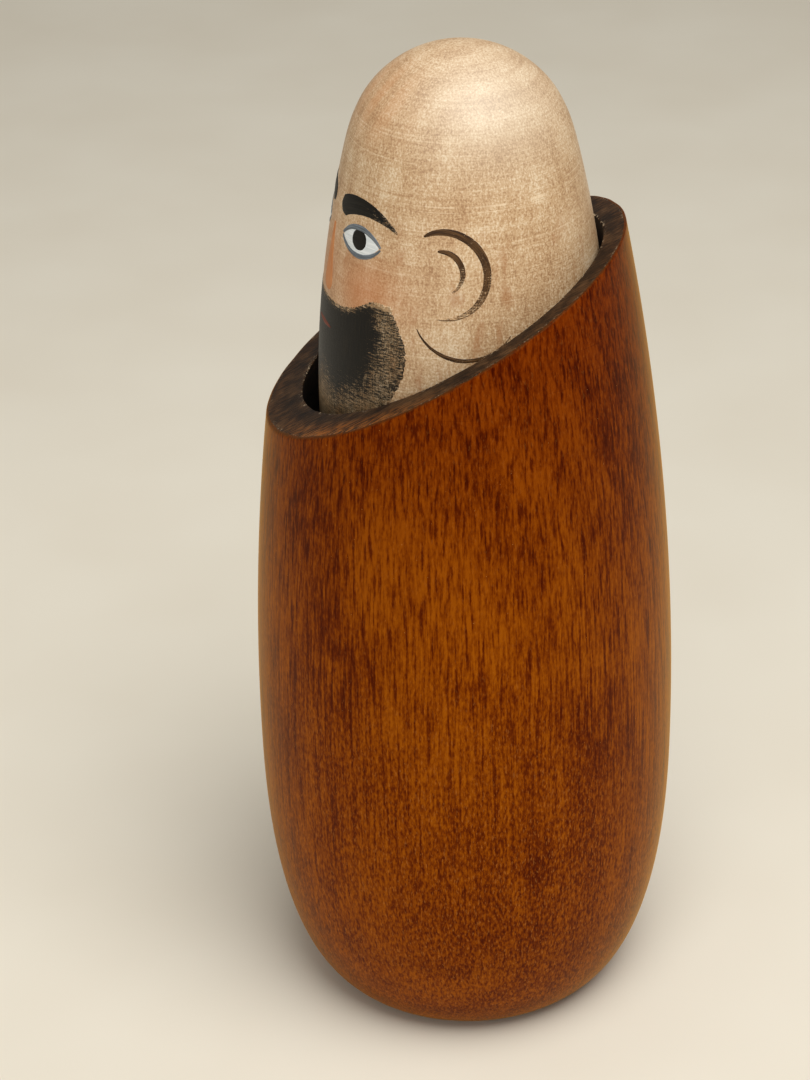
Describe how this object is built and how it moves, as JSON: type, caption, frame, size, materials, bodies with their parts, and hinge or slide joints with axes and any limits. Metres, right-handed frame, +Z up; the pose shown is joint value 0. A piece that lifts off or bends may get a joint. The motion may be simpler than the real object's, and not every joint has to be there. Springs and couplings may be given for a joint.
{
  "type": "daruma doll",
  "caption": "Turned wooden daruma doll: a bald, bearded figure stands loose in a hollow stained robe whose slanted mouth is open to the front.",
  "frame": {"origin": "centre of the robe's foot, on the surface that the doll stands on", "axes": "+Z up along the robe's axis, -Y to the front, where the mouth is lowest, +X to the doll's left"},
  "size_m": [0.0859, 0.0858, 0.205],
  "materials": {
    "stained_wood": "stained, satin",
    "dowel_wood": "bare",
    "pale_wood": "bare, sanded",
    "black_paint": "thin brushed paint",
    "white_paint": "thin brushed paint",
    "grey_paint": "thin brushed paint",
    "orange_paint": "thin brushed paint",
    "red_paint": "thin brushed paint",
    "brown_paint": "thin brushed paint"
  },
  "bodies": {
    "robe": {"robe_shell": "stained_wood"},
    "dowel": {"locating_dowel": "dowel_wood"},
    "figure": {"figure": "pale_wood", "brow_paint": "black_paint", "eye_white_paint": "white_paint", "pupil_paint": "black_paint", "eyelid_paint": "grey_paint", "nose_paint": "orange_paint", "mouth_paint": "red_paint", "beard_paint": "black_paint", "ear_stroke_paint": "brown_paint", "neck_fold_paint": "brown_paint"}
  },
  "joints": [
    {"name": "figure_lift", "type": "slide", "parent": "robe", "child": "dowel", "axis": [0, -0.0732, 0.9973], "range_m": [0, 0.165]},
    {"name": "figure_turn", "type": "hinge", "parent": "dowel", "child": "figure", "pos_m": [0, 0.0008, 0.02], "axis": [0, 0, 1], "continuous": true}
  ]
}
